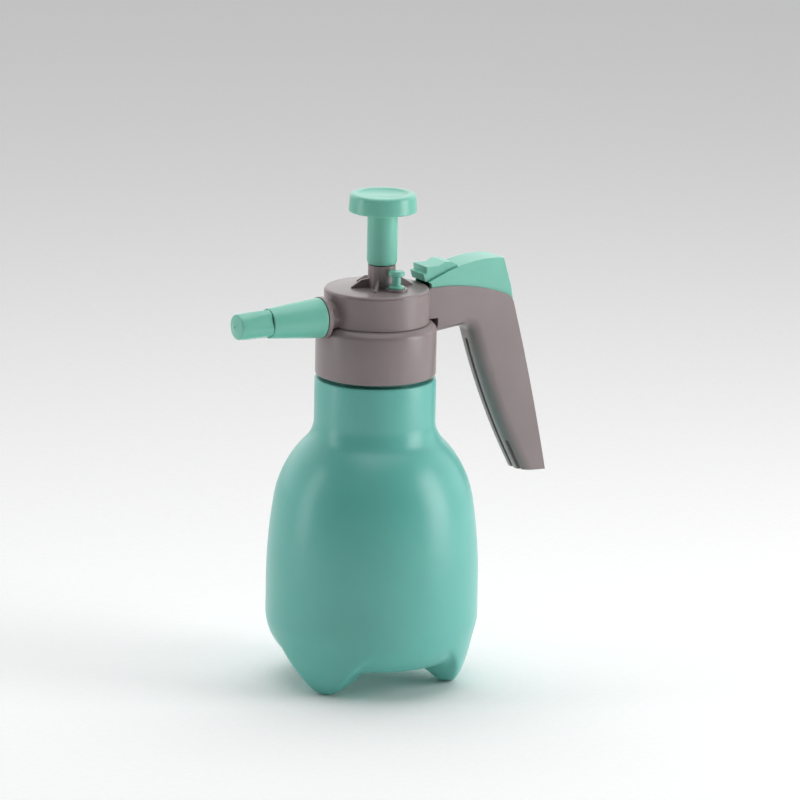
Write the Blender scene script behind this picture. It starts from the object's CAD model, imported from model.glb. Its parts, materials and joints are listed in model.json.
import json
import math

import bmesh
import bpy
from mathutils import Matrix, Vector

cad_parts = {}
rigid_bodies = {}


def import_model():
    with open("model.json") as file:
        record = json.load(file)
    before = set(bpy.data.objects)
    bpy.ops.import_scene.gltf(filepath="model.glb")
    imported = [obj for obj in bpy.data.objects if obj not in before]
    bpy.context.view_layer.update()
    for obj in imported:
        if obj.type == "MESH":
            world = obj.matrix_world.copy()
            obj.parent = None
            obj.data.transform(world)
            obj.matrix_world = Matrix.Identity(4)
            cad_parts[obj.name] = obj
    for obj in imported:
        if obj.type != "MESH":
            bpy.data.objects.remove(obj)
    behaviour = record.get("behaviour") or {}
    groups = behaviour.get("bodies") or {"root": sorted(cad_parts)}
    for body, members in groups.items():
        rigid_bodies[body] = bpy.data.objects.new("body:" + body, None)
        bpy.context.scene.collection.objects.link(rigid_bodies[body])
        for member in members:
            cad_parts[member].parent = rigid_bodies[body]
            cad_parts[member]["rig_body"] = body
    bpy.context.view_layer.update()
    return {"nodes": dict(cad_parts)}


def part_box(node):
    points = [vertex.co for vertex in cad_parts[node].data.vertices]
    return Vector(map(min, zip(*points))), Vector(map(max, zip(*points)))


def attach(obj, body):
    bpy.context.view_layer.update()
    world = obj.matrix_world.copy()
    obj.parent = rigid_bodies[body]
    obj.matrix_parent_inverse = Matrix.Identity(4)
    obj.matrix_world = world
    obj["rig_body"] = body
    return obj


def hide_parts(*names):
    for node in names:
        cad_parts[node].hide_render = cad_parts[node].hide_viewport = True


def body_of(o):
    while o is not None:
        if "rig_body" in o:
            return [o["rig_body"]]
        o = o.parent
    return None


bl_info = {
    "name": "Hand mister",
    "version": (1, 0, 0),
    "blender": (4, 5, 0),
    "location": "3D View > Sidebar > Hand mister",
    "description": "Mouldings, finishes and studio of a one-litre hand mister, built round its packed frame",
    "category": "Object",
}

MM = 0.001
MERGE_DISTANCE = 0.001 * MM
FLAT_ANGLE = math.radians(0.2)

# The bottle: facets round it, points along its outline, and small details of its form.
BOTTLE_STEPS = 240
BASE_RINGS = 36
BOWL_STEPS, BELLY_STEPS, SHOULDER_STEPS, HOLLOW_STEPS = 40, 30, 24, 14
LEDGE_STEPS, LIP_STEPS = 6, 4
BOTTLE_SMOOTH = math.radians(50)
FEET = 3
THREAD_TURNS = 3
THREAD_DROP = 4 * MM
THREAD_CREST = 0.4
LIP_ROUND = 0.5 * MM
PAD_INSIDE_SLOPE = 1.9
PAD_CORNER = 2 * MM
NO_FOOT = 1.0

# Finishes: how far the pigment's mottle, the gloss and the grain vary.
MOTTLE_START, MOTTLE_STOP = 0.3, 0.7
NOISE_ROUGHNESS = 0.55
FLOW_DETAIL = 3.0
POLYMER_IOR = 1.5
MOULD_GLOSS, PLAIN_GLOSS = 0.05, 0.06
GLOW_DEPTH = 2 * MM
GRAIN_STRENGTH, PLAIN_STRENGTH = 0.4, 0.3
PLAIN_DEPTH = 0.02 * MM
WIRE_ROUGHNESS = (0.22, 0.38)

# Studio: lights, surroundings, floor and camera.
BANK_DISTANCE, BANK_RISE = 1.25, 0.1
TOP_HEIGHT, TOP_SIZE, TOP_RADIANCE = 1.3, (1.3, 1.3), 1.6
ROOM_BEHIND, ROOM_AHEAD = -0.6, 0.1
ROOM_BRIGHT, ROOM_DARK = 1.35, 0.02
FLOOR_SIZE = 12
PAPER_GRAIN, PAPER_ROUGHNESS = 4 * MM, 0.9
SENSOR_WIDTH = 36
CLIP_END = 20

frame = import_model()
BOTTLE_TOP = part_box("bottle")[1]

# The nodes that keep their own shape, by finish.
KEPT = {
    "inner_white": ("valve_body", "valve_stem", "pump_cylinder", "piston", "pump_rod", "swirl_core",
                    "dip_strainer"),
    "seal_rubber": ("neck_gasket", "valve_seal", "pump_check_valve", "piston_cup", "relief_valve_seal",
                    "spigot_oring"),
    "hose_clear": ("supply_hose", "outlet_hose", "dip_tube"),
    "spring_steel": ("trigger_pin", "valve_spring", "relief_valve_clip", "relief_valve_spring"),
}

# The material that gives each slot its finish.
FINISHES = {
    "bottle_mint": "satin_polyethylene_mint",
    "trim_mint": "satin_polypropylene_mint",
    "head_grey": "satin_polypropylene_taupe",
    "inner_white": "natural_polypropylene",
    "seal_rubber": "matt_nitrile_rubber",
    "hose_clear": "clear_soft_vinyl",
    "spring_steel": "drawn_stainless_wire",
}


# ---- finishes --------------------------------------------------------------------------------------------

def linear(hex_colour):
    """An sRGB hex colour as linear red, green, blue and alpha."""
    channels = []
    for i in (1, 3, 5):
        value = int(hex_colour[i:i + 2], 16) / 255
        channels.append(value / 12.92 if value <= 0.04045 else ((value + 0.055) / 1.055) ** 2.4)
    return (*channels, 1.0)


def shader_node(tree, kind, values=None, links=None):
    """Add a node, set its sockets, and link its sockets from (node, output) pairs."""
    node = tree.nodes.new(kind)
    for key, value in (values or {}).items():
        node.inputs[key].default_value = value
    for key, (source, output) in (links or {}).items():
        tree.links.new(source.outputs[output], node.inputs[key])
    return node


def empty_material(name):
    """A new material without nodes, and its node tree."""
    material = bpy.data.materials.new(name)
    material.use_nodes = True
    material.node_tree.nodes.clear()
    return material, material.node_tree


def noise(tree, place, feature, detail=2.0):
    """Noise whose features are so many metres across."""
    return shader_node(tree, "ShaderNodeTexNoise",
                       {"Scale": 1 / feature, "Detail": detail, "Roughness": NOISE_ROUGHNESS},
                       {"Vector": (place, "Object")})


def between(tree, source, low, high):
    """A noise's strength, from 0 to 1, spread between two values."""
    return shader_node(tree, "ShaderNodeMapRange", {"To Min": low, "To Max": high},
                       {"Value": (source, "Fac")})


def pigment(tree, source, dark, light):
    """A colour that a noise moves between two shades."""
    ramp = shader_node(tree, "ShaderNodeValToRGB", None, {"Fac": (source, "Fac")})
    first, last = ramp.color_ramp.elements
    first.position, last.position = MOTTLE_START, MOTTLE_STOP
    first.color, last.color = linear(dark), linear(light)
    return ramp


def bumped(tree, source, strength, depth):
    """A bump from a noise, so many metres deep."""
    return shader_node(tree, "ShaderNodeBump", {"Strength": strength, "Distance": depth},
                       {"Height": (source, "Fac")})


def surface(tree, values, colour, gloss=None, bump=None):
    """The shader of a surface with its colour, gloss and bump, and the material's output."""
    links = {"Base Color": (colour, "Color")}
    if gloss:
        links["Roughness"] = (gloss, "Result")
    if bump:
        links["Normal"] = (bump, "Normal")
    shader = shader_node(tree, "ShaderNodeBsdfPrincipled", values, links)
    shader_node(tree, "ShaderNodeOutputMaterial", None, {"Surface": (shader, "BSDF")})


def moulded_polymer(name, light, dark, roughness, grain, depth, cloud, glow):
    """Pigmented polyolefin: a faint flow mottle, a fine mould grain, and light that goes a little way in."""
    material, tree = empty_material(name)
    place = shader_node(tree, "ShaderNodeTexCoord")
    mottle = noise(tree, place, cloud, FLOW_DETAIL)
    gloss = between(tree, mottle, roughness - MOULD_GLOSS, roughness + MOULD_GLOSS)
    surface(tree, {"IOR": POLYMER_IOR, "Subsurface Weight": glow, "Subsurface Scale": GLOW_DEPTH},
            pigment(tree, mottle, dark, light), gloss,
            bumped(tree, noise(tree, place, grain), GRAIN_STRENGTH, depth))
    return material


def plain_polymer(name, light, dark, roughness, feature, clear=0.0):
    """An inner part's plastic or rubber: mottled a little, and clear where light passes through it."""
    material, tree = empty_material(name)
    place = shader_node(tree, "ShaderNodeTexCoord")
    mottle = noise(tree, place, feature)
    gloss = between(tree, mottle, roughness - PLAIN_GLOSS, roughness + PLAIN_GLOSS)
    surface(tree, {"IOR": POLYMER_IOR, "Transmission Weight": clear},
            pigment(tree, mottle, dark, light), gloss, bumped(tree, mottle, PLAIN_STRENGTH, PLAIN_DEPTH))
    return material


def drawn_wire(name, light, dark, feature):
    """Drawn stainless spring wire: bright metal with faint die marks."""
    material, tree = empty_material(name)
    place = shader_node(tree, "ShaderNodeTexCoord")
    marks = noise(tree, place, feature)
    surface(tree, {"Metallic": 1.0}, pigment(tree, marks, dark, light), between(tree, marks, *WIRE_ROUGHNESS))
    return material


def finish(slot_name):
    """The material of a slot, made the first time that it is asked for."""
    name = FINISHES[slot_name]
    made = bpy.data.materials.get(name)
    if made:
        return made
    if slot_name == "bottle_mint":
        # Blow-moulded high-density polyethylene, satin, tinted through.
        return moulded_polymer(name, "#6BBFB4", "#66B9AE", 0.3, 0.7 * MM, 0.003 * MM, 45 * MM, 0.05)
    if slot_name == "trim_mint":
        # Injection-moulded polypropylene, satin, a lighter batch of the same tint.
        return moulded_polymer(name, "#7AC8B4", "#75C2AE", 0.3, 0.5 * MM, 0.002 * MM, 20 * MM, 0.04)
    if slot_name == "head_grey":
        # Injection-moulded polypropylene in taupe grey, satin.
        return moulded_polymer(name, "#908384", "#8B7E7F", 0.3, 0.4 * MM, 0.0025 * MM, 25 * MM, 0.02)
    if slot_name == "inner_white":
        # Natural polypropylene of the parts inside, unpolished.
        return plain_polymer(name, "#E9E8E2", "#DEDDD6", 0.42, 3 * MM)
    if slot_name == "seal_rubber":
        # Black nitrile rubber of the seals, matt.
        return plain_polymer(name, "#222223", "#161617", 0.62, 0.8 * MM)
    if slot_name == "hose_clear":
        # Soft clear vinyl tube.
        return plain_polymer(name, "#E6ECE8", "#DDE4DF", 0.22, 2 * MM, 0.45)
    # Stainless spring wire, as drawn.
    return drawn_wire(name, "#CFD1D2", "#B9BBBD", 0.25 * MM)


def dress(piece, slot_name):
    """Give a piece its slot and that slot's finish."""
    piece.data.materials.clear()
    piece.data.materials.append(finish(slot_name))


# ---- mesh tools ------------------------------------------------------------------------------------------

def piece_from(shape, name, node, slot_name, smooth_angle):
    """A piece made from a bmesh, which stands for a CAD node and rides with that node's body."""
    mesh = bpy.data.meshes.new(name)
    shape.to_mesh(mesh)
    shape.free()
    mesh.shade_smooth()
    mesh.set_sharp_from_angle(angle=smooth_angle)
    piece = bpy.data.objects.new(name, mesh)
    bpy.context.scene.collection.objects.link(piece)
    dress(piece, slot_name)
    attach(piece, body_of(frame["nodes"][node])[0])
    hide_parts(node)
    return piece


def drawn(points):
    """A bmesh of an open run of (radius, height) points, in the XZ plane."""
    shape = bmesh.new()
    verts = [shape.verts.new((radius, 0, height)) for radius, height in points]
    for first, second in zip(verts, verts[1:]):
        shape.edges.new((first, second))
    return shape


def spin_round(shape, steps):
    """Spin a run right round the Z axis, and close its seam and its middle."""
    bmesh.ops.spin(shape, geom=shape.verts[:] + shape.edges[:], cent=(0, 0, 0), axis=(0, 0, 1),
                   angle=2 * math.pi, steps=steps, use_merge=True)
    bmesh.ops.remove_doubles(shape, verts=shape.verts, dist=MERGE_DISTANCE)
    bmesh.ops.recalc_face_normals(shape, faces=shape.faces)


def softened(name, node, slot_name, settings, smooth_angle=0.6):
    """A copy of a CAD node, merged into one skin, with the small radius that its mould leaves on edges."""
    shape = bmesh.new()
    shape.from_mesh(frame["nodes"][node].data)
    bmesh.ops.remove_doubles(shape, verts=shape.verts, dist=MERGE_DISTANCE)
    bmesh.ops.dissolve_degenerate(shape, edges=shape.edges, dist=MERGE_DISTANCE)
    bmesh.ops.dissolve_limit(shape, angle_limit=FLAT_ANGLE, use_dissolve_boundaries=False, verts=shape.verts,
                             edges=shape.edges)
    piece = piece_from(shape, name, node, slot_name, smooth_angle)
    bevel = piece.modifiers.new("mould_radius", "BEVEL")
    bevel.width = settings.edge_radius
    bevel.segments = settings.edge_steps
    bevel.limit_method = "ANGLE"
    bevel.angle_limit = settings.edge_angle
    bevel.harden_normals = True
    return piece


# ---- the bottle ------------------------------------------------------------------------------------------

def arc(centre, radius, start, stop, count):
    """Points along an arc; the angles are measured from the radius direction."""
    angles = [start + (stop - start) * i / count for i in range(count + 1)]
    return [(centre[0] + radius * math.cos(angle), centre[1] + radius * math.sin(angle)) for angle in angles]


def bottle_outline(sizes):
    """The bottle's outside from the middle of its underside to the foot of its neck."""
    widest = BOTTLE_TOP.x
    bowl = (widest - sizes.bowl_round, sizes.belly_low)
    heel_angle = math.acos((sizes.base_radius - bowl[0]) / sizes.bowl_round)
    heel = bowl[1] - sizes.bowl_round * math.sin(heel_angle)
    belly = Vector((widest - sizes.belly_round, sizes.belly_high))
    hollow = Vector((sizes.neck_radius + sizes.shoulder_hollow, sizes.neck_foot))
    reach_in = sizes.belly_round - sizes.shoulder_round
    reach_out = sizes.shoulder_hollow + sizes.shoulder_round
    span = (hollow - belly).length
    along = (reach_in ** 2 - reach_out ** 2 + span ** 2) / (2 * span)
    across = math.sqrt(reach_in ** 2 - along ** 2)
    line = (hollow - belly).normalized()
    shoulder = belly + line * along + Vector((line.y, -line.x)) * across
    turn = math.atan2(shoulder.y - belly.y, shoulder.x - belly.x)
    ease = math.atan2(hollow.y - shoulder.y, hollow.x - shoulder.x)
    shares = [i / BASE_RINGS for i in range(BASE_RINGS)]
    points = [(sizes.base_radius * share, heel + sizes.base_dome * (1 - share ** 2)) for share in shares]
    points += arc(bowl, sizes.bowl_round, -heel_angle, 0, BOWL_STEPS)
    points += arc(belly, sizes.belly_round, 0, turn, BELLY_STEPS)
    points += arc(shoulder, sizes.shoulder_round, turn, ease, SHOULDER_STEPS)[1:]
    points += arc(hollow, sizes.shoulder_hollow, math.pi + ease, math.pi, HOLLOW_STEPS)[1:]
    return points


def upper_outline(sizes):
    """The plain neck, its rounded ledge, the threaded finish and the lip."""
    lip = BOTTLE_TOP.z
    ledge = sizes.neck_edge
    points = arc((sizes.neck_radius - ledge, sizes.neck_top - ledge), ledge, 0, math.pi / 2, LEDGE_STEPS)
    points.append((sizes.finish_radius, sizes.neck_top))
    for turn in reversed(range(THREAD_TURNS)):
        middle = lip - THREAD_DROP - turn * sizes.thread_pitch
        half = sizes.thread_width / 2
        crest = sizes.finish_radius + sizes.thread_depth
        points += [(sizes.finish_radius, middle - half), (crest, middle - THREAD_CREST * half),
                   (crest, middle + THREAD_CREST * half), (sizes.finish_radius, middle + half)]
    points += arc((sizes.finish_radius - LIP_ROUND, lip - LIP_ROUND), LIP_ROUND, 0, math.pi / 2, LIP_STEPS)
    points.append((sizes.mouth_bore, lip))
    return points


def soft_least(first, second, blend):
    """The smaller of two heights, with a round hollow where they cross."""
    mix = max(blend - abs(first - second), 0) / blend
    return min(first, second) - mix * mix * blend / 4


def soft_most(first, second, blend):
    """The larger of two heights, with a round edge where they cross."""
    return -soft_least(-first, -second, blend)


def foot_height(x, y, sizes):
    """Height of the feet's surface over a point of the standing plane."""
    radius = math.hypot(x, y)
    over = max(radius - sizes.foot_outer, 0)
    outside = sizes.foot_flare * over + (over / sizes.foot_swell) ** 3 * MM
    inside = PAD_INSIDE_SLOPE * (sizes.foot_inner - radius)
    lowest = NO_FOOT
    for k in range(FEET):
        bearing = sizes.foot_bearing + 2 * math.pi * k / FEET
        ahead = x * math.cos(bearing) + y * math.sin(bearing)
        aside = abs(y * math.cos(bearing) - x * math.sin(bearing))
        if ahead < 0:
            continue
        flank = sizes.foot_spread * (aside - sizes.foot_half)
        height = soft_most(soft_most(outside, inside, PAD_CORNER), flank, sizes.foot_edge)
        lowest = min(lowest, soft_most(height, 0, sizes.foot_pad_round))
    return lowest


def build_bottle(sizes):
    """The bottle's outside with its feet pulled down from the bowl, and its lining a wall further in."""
    outline = bottle_outline(sizes)
    outside = drawn(outline + upper_outline(sizes))
    spin_round(outside, BOTTLE_STEPS)
    for vert in outside.verts:
        if vert.co.z < sizes.belly_high:
            foot = foot_height(vert.co.x, vert.co.y, sizes)
            vert.co.z = max(soft_least(vert.co.z, foot, sizes.foot_blend), 0)
    wall = sizes.wall
    inner = [(max(radius - wall, 0), height + wall * (radius < sizes.base_radius))
             for radius, height in outline if radius == 0 or radius > wall]
    inner += [(sizes.neck_radius - wall, sizes.neck_top - wall), (sizes.mouth_bore, sizes.neck_top - wall),
              (sizes.mouth_bore, BOTTLE_TOP.z)]
    inside = drawn(inner)
    spin_round(inside, BOTTLE_STEPS)
    lining = bpy.data.meshes.new("bottle_lining")
    inside.to_mesh(lining)
    inside.free()
    outside.from_mesh(lining)
    bpy.data.meshes.remove(lining)
    bmesh.ops.remove_doubles(outside, verts=outside.verts, dist=MERGE_DISTANCE)
    bmesh.ops.recalc_face_normals(outside, faces=outside.faces)
    piece_from(outside, "bottle_shell", "bottle", "bottle_mint", BOTTLE_SMOOTH)


# ---- settings --------------------------------------------------------------------------------------------

def length(name, description, size):
    return bpy.props.FloatProperty(name=name, description=description, default=size, subtype="DISTANCE",
                                   unit="LENGTH", precision=5)


def bearing(name, description, angle):
    return bpy.props.FloatProperty(name=name, description=description, default=angle, subtype="ANGLE",
                                   unit="ROTATION")


def ratio(name, description, value):
    return bpy.props.FloatProperty(name=name, description=description, default=value)


class BottleSizes(bpy.types.PropertyGroup):
    wall: length("Wall", "Thickness of the blow-moulded wall", 1.5 * MM)
    base_radius: length("Heel radius", "Where the wall turns under", 47.5 * MM)
    base_dome: length("Base dome", "Rise of the underside to its middle", 4 * MM)
    bowl_round: length("Bowl round", "Round of the lower bowl", 30 * MM)
    belly_low: length("Belly low", "Height where the bowl meets the belly", 40.3 * MM)
    belly_high: length("Belly high", "Height where the belly starts to close in", 58 * MM)
    belly_round: length("Belly round", "Round of the upper belly", 300 * MM)
    shoulder_round: length("Shoulder round", "Round at the shoulder", 60 * MM)
    shoulder_hollow: length("Shoulder hollow", "Hollow between shoulder and neck", 18 * MM)
    neck_radius: length("Neck radius", "Plain neck below the collar", 34.2 * MM)
    neck_foot: length("Neck foot", "Height where the shoulder meets the neck", 151.2 * MM)
    neck_top: length("Neck top", "Top of the plain neck", 175.3 * MM)
    neck_edge: length("Neck edge", "Rounded top edge of the neck", 1.2 * MM)
    finish_radius: length("Finish radius", "Threaded mouth at the root of its thread", 28.6 * MM)
    mouth_bore: length("Mouth bore", "Inside of the mouth", 26.6 * MM)
    thread_depth: length("Thread depth", "Height of a thread turn", 1.6 * MM)
    thread_pitch: length("Thread pitch", "From one thread turn to the next", 5 * MM)
    thread_width: length("Thread width", "Width of a thread turn at its root", 2.4 * MM)
    foot_inner: length("Foot inner", "Inner radius of a foot's pad", 39.5 * MM)
    foot_outer: length("Foot outer", "Outer radius of a foot's pad", 47.5 * MM)
    foot_half: length("Foot half width", "Half width of a foot at the ground", 6 * MM)
    foot_blend: length("Foot blend", "Hollow between a foot and the bowl", 4 * MM)
    foot_edge: length("Foot edge", "Round of a foot's corners", 5 * MM)
    foot_pad_round: length("Foot pad round", "Round of a pad's edge", 2.5 * MM)
    foot_swell: length("Foot swell", "How soon a foot's outside stands upright", 4.31 * MM)
    foot_flare: ratio("Foot flare", "Slope of a foot's outside at the ground", 1.5)
    foot_spread: ratio("Foot spread", "Slope of a foot's sides", 1.08)
    foot_bearing: bearing("Foot bearing", "Bearing of the first foot from the way it sprays",
                          math.radians(25))


class EdgeSizes(bpy.types.PropertyGroup):
    edge_radius: length("Edge radius", "Small radius on a moulding's edges", 0.35 * MM)
    edge_angle: bearing("Edge angle", "Edges flatter than this stay as they are", math.radians(35))
    edge_steps: bpy.props.IntProperty(name="Edge steps", description="Facets round a moulding's edge",
                                      default=3)


class StudioSizes(bpy.types.PropertyGroup):
    aim: length("Aim height", "Height the camera looks at", 144 * MM)
    distance: length("Distance", "From the camera to the object", 3.6)
    azimuth: bearing("Azimuth", "Turn of the camera round the object", math.radians(149))
    elevation: bearing("Elevation", "Camera's angle above the horizon", math.radians(13.8))
    roll: bearing("Roll", "Camera's turn about its own axis", math.radians(1))
    lens: bpy.props.FloatProperty(name="Lens", description="Focal length in millimetres", default=288)
    shift_x: ratio("Shift across", "Lens shift across the frame", 0.032)
    shift_y: ratio("Shift up", "Lens shift up the frame", 0.038)


# ---- operators -------------------------------------------------------------------------------------------

class HANDMISTER_OT_bottle(bpy.types.Operator):
    """Build the blow-moulded bottle with its three feet and threaded mouth"""
    bl_idname = "hand_mister.bottle"
    bl_label = "Bottle"

    def execute(self, context):
        build_bottle(context.scene.mister_bottle)
        return {"FINISHED"}


class HANDMISTER_OT_head(bpy.types.Operator):
    """Build the grey mouldings of the head: collar, plate, housing and pump cap"""
    bl_idname = "hand_mister.head"
    bl_label = "Head mouldings"

    def execute(self, context):
        edges = context.scene.mister_edges
        for node in ("collar", "head_housing", "pump_cap"):
            softened(node + "_moulding", node, "head_grey", edges)
        softened("head_base_moulding", "head_base", "inner_white", edges)
        return {"FINISHED"}


class HANDMISTER_OT_trim(bpy.types.Operator):
    """Build the mint mouldings: knob, relief valve, handle cover, trigger, nozzle cone and nozzle tip"""
    bl_idname = "hand_mister.trim"
    bl_label = "Mint mouldings"

    def execute(self, context):
        edges = context.scene.mister_edges
        for node in ("pump_knob", "relief_valve_pull", "handle_cover", "thumb_trigger", "nozzle_cone",
                     "nozzle_tip"):
            softened(node + "_moulding", node, "trim_mint", edges)
        return {"FINISHED"}


class HANDMISTER_OT_inner_parts(bpy.types.Operator):
    """Give the pump's, valve's and tubes' own shapes their finishes"""
    bl_idname = "hand_mister.inner_parts"
    bl_label = "Inner parts"

    def execute(self, context):
        for slot_name, nodes in KEPT.items():
            for node in nodes:
                dress(frame["nodes"][node], slot_name)
        return {"FINISHED"}


def soft_light(name, place, target, size, radiance):
    """A rectangular soft light that looks at the target; its power follows from its area and brightness."""
    light = bpy.data.lights.new(name, "AREA")
    light.shape = "RECTANGLE"
    light.size, light.size_y = size
    light.energy = radiance * math.pi * size[0] * size[1]
    lamp = bpy.data.objects.new(name, light)
    lamp.location = place
    lamp.rotation_euler = (place - target).to_track_quat("Z", "Y").to_euler()
    bpy.context.scene.collection.objects.link(lamp)


def surrounding_light(front):
    """White studio walls all round, with the darker room on one side."""
    world = bpy.data.worlds.new("studio")
    world.use_nodes = True
    tree = world.node_tree
    tree.nodes.clear()
    place = shader_node(tree, "ShaderNodeTexCoord")
    facing = tree.nodes.new("ShaderNodeVectorMath")
    facing.operation = "DOT_PRODUCT"
    facing.inputs[1].default_value = (front.x, front.y, 0)
    tree.links.new(place.outputs["Generated"], facing.inputs[0])
    strength = shader_node(tree, "ShaderNodeMapRange",
                           {"From Min": ROOM_BEHIND, "From Max": ROOM_AHEAD, "To Min": ROOM_BRIGHT,
                            "To Max": ROOM_DARK}, {"Value": (facing, "Value")})
    glow = shader_node(tree, "ShaderNodeBackground", {"Color": linear("#FFFFFF")},
                       {"Strength": (strength, "Result")})
    shader_node(tree, "ShaderNodeOutputWorld", None, {"Surface": (glow, "Background")})
    return world


def add_camera(scene, studio, target, back):
    """A long lens that looks along the view's direction, turned a little about its own axis."""
    lens = bpy.data.cameras.new("camera")
    lens.lens = studio.lens
    lens.sensor_width = SENSOR_WIDTH
    lens.shift_x = studio.shift_x
    lens.shift_y = studio.shift_y
    lens.dof.use_dof = False
    lens.clip_end = CLIP_END
    camera = bpy.data.objects.new("camera", lens)
    camera.location = target + back * studio.distance
    turn = back.to_track_quat("Z", "Y").to_matrix() @ Matrix.Rotation(studio.roll, 3, "Z")
    camera.rotation_euler = turn.to_euler()
    scene.collection.objects.link(camera)
    scene.camera = camera


def add_floor(scene):
    """Matt white background paper under the object."""
    shape = bmesh.new()
    bmesh.ops.create_grid(shape, x_segments=1, y_segments=1, size=FLOOR_SIZE)
    mesh = bpy.data.meshes.new("floor")
    shape.to_mesh(mesh)
    shape.free()
    floor = bpy.data.objects.new("floor", mesh)
    material, tree = empty_material("studio_paper")
    grain = noise(tree, shader_node(tree, "ShaderNodeTexCoord"), PAPER_GRAIN)
    surface(tree, {"Roughness": PAPER_ROUGHNESS}, pigment(tree, grain, "#FAFAFA", "#FDFDFD"))
    mesh.materials.append(material)
    scene.collection.objects.link(floor)


class HANDMISTER_OT_studio(bpy.types.Operator):
    """Set up the pale floor, the soft lights and the camera"""
    bl_idname = "hand_mister.studio"
    bl_label = "Studio"

    def execute(self, context):
        scene = context.scene
        studio = scene.mister_studio
        target = Vector((0, 0, studio.aim))
        flat = math.cos(studio.elevation)
        back = Vector((math.sin(studio.azimuth) * flat, -math.cos(studio.azimuth) * flat,
                       math.sin(studio.elevation)))
        add_camera(scene, studio, target, back)
        for name, turn, size, radiance in (("right_bank", 80, (0.6, 1.6), 5.0),
                                           ("left_bank", -82, (0.35, 1.6), 3.0)):
            around = Matrix.Rotation(math.radians(turn), 3, "Z") @ Vector((back.x, back.y, 0)).normalized()
            place = target + around * BANK_DISTANCE + Vector((0, 0, BANK_RISE))
            soft_light(name, place, target, size, radiance)
        soft_light("top_bank", target + Vector((0, 0, TOP_HEIGHT)), target, TOP_SIZE, TOP_RADIANCE)
        scene.world = surrounding_light(back)
        scene.view_settings.view_transform = "Standard"
        add_floor(scene)
        return {"FINISHED"}


class HANDMISTER_PT_panel(bpy.types.Panel):
    """The mister's pieces and its studio"""
    bl_idname = "HANDMISTER_PT_panel"
    bl_label = "Hand mister"
    bl_space_type = "VIEW_3D"
    bl_region_type = "UI"
    bl_category = "Hand mister"

    def draw(self, context):
        for step in STEPS:
            self.layout.operator(step.bl_idname)


STEPS = (HANDMISTER_OT_bottle, HANDMISTER_OT_head, HANDMISTER_OT_trim, HANDMISTER_OT_inner_parts,
         HANDMISTER_OT_studio)
GROUPS = {"mister_bottle": BottleSizes, "mister_edges": EdgeSizes, "mister_studio": StudioSizes}


def register():
    for kind in (*GROUPS.values(), *STEPS, HANDMISTER_PT_panel):
        bpy.utils.register_class(kind)
    for name, kind in GROUPS.items():
        setattr(bpy.types.Scene, name, bpy.props.PointerProperty(type=kind))


def unregister():
    for name in GROUPS:
        delattr(bpy.types.Scene, name)
    for kind in (HANDMISTER_PT_panel, *reversed(STEPS), *GROUPS.values()):
        bpy.utils.unregister_class(kind)


def main():
    register()
    for step in STEPS:
        group, name = step.bl_idname.split(".")
        getattr(getattr(bpy.ops, group), name)()


if __name__ == "__main__":
    main()
